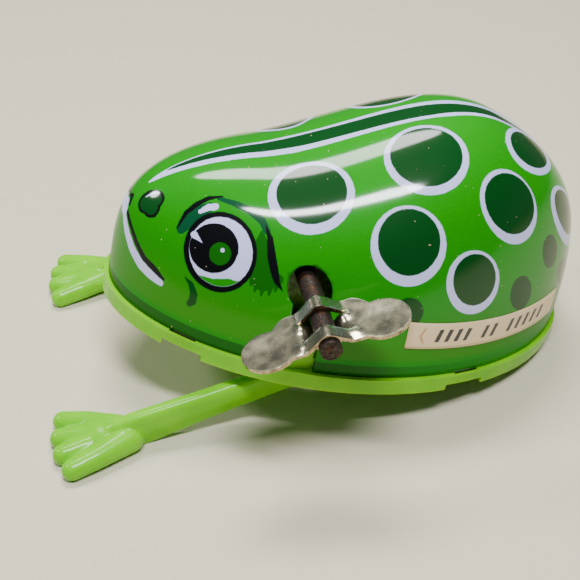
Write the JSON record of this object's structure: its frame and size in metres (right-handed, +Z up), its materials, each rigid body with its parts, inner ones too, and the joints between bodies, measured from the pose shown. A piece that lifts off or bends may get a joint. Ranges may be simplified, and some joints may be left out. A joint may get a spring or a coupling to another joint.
{
  "type": "wind-up jumping toy frog",
  "caption": "Tin toy frog with a printed pressed shell on a plastic base, wound by a key on its left side; a geared clockwork motor kicks its two hinged plastic legs to make it hop.",
  "frame": {"origin": "centre of the bounding box's bottom face, on the floor the toy stands on", "axes": "-Y is the way the nose and feet point, +Z is up with the toy standing on its two soles and the tail end of its base, +X is the key side (the frog's left)"},
  "size_m": [0.0618, 0.0854, 0.0401],
  "materials": {
    "litho_tin": "glossy lithographed tin plate, slightly scratched",
    "lime_plastic": "moulded translucent yellow-green plastic",
    "label_paper": "cream coated paper sticker, plain bars for marks",
    "motor_steel": "stamped steel, slightly oily",
    "key_plating": "worn nickel plating over brass-coloured sheet",
    "arbor_steel": "turned steel, browned at the end",
    "gear_brass": "stamped brass"
  },
  "bodies": {
    "frog": {"tin_shell": "litho_tin", "base_tray": "lime_plastic", "paper_label": "label_paper", "left_motor_plate": "motor_steel", "right_motor_plate": "motor_steel", "motor_pillars": "motor_steel", "mainspring": "motor_steel"},
    "key": {"winding_arbor": "arbor_steel", "winding_key": "key_plating", "ratchet_wheel": "motor_steel"},
    "great": {"great_wheel": "gear_brass", "click_pawl": "motor_steel", "click_rivet": "gear_brass", "click_spring": "motor_steel"},
    "second": {"second_shaft": "motor_steel", "second_wheel": "gear_brass", "second_pinion": "gear_brass"},
    "cam": {"cam_shaft": "motor_steel", "cam_pinion": "gear_brass", "kick_cam": "motor_steel"},
    "legs": {"leg_shaft": "motor_steel", "kick_lever": "motor_steel", "left_leg": "lime_plastic", "right_leg": "lime_plastic"}
  },
  "joints": [
    {"name": "key_turn", "type": "hinge", "parent": "frog", "child": "key", "pos_m": [-0.00313, -0.00386, 0.02405], "axis": [1, 0, 0], "continuous": true},
    {"name": "great_wheel_turn", "type": "hinge", "parent": "frog", "child": "great", "pos_m": [-0.00313, -0.00386, 0.02405], "axis": [1, 0, 0], "continuous": true},
    {"name": "second_turn", "type": "hinge", "parent": "frog", "child": "second", "pos_m": [-0.00313, 0.00762, 0.02345], "axis": [1, 0, 0], "continuous": true},
    {"name": "cam_turn", "type": "hinge", "parent": "frog", "child": "cam", "pos_m": [-0.00313, 0.01555, 0.01656], "axis": [1, 0, 0], "continuous": true},
    {"name": "leg_swing", "type": "hinge", "parent": "frog", "child": "legs", "pos_m": [-0.00313, 0.00957, 0.01044], "axis": [1, 0, 0], "range_deg": [0, 28]}
  ],
  "couplings": [
    {"joint": "great_wheel_turn", "follows": "key_turn", "ratio": 1},
    {"joint": "second_turn", "follows": "key_turn", "ratio": -3.6},
    {"joint": "cam_turn", "follows": "key_turn", "ratio": 9}
  ]
}
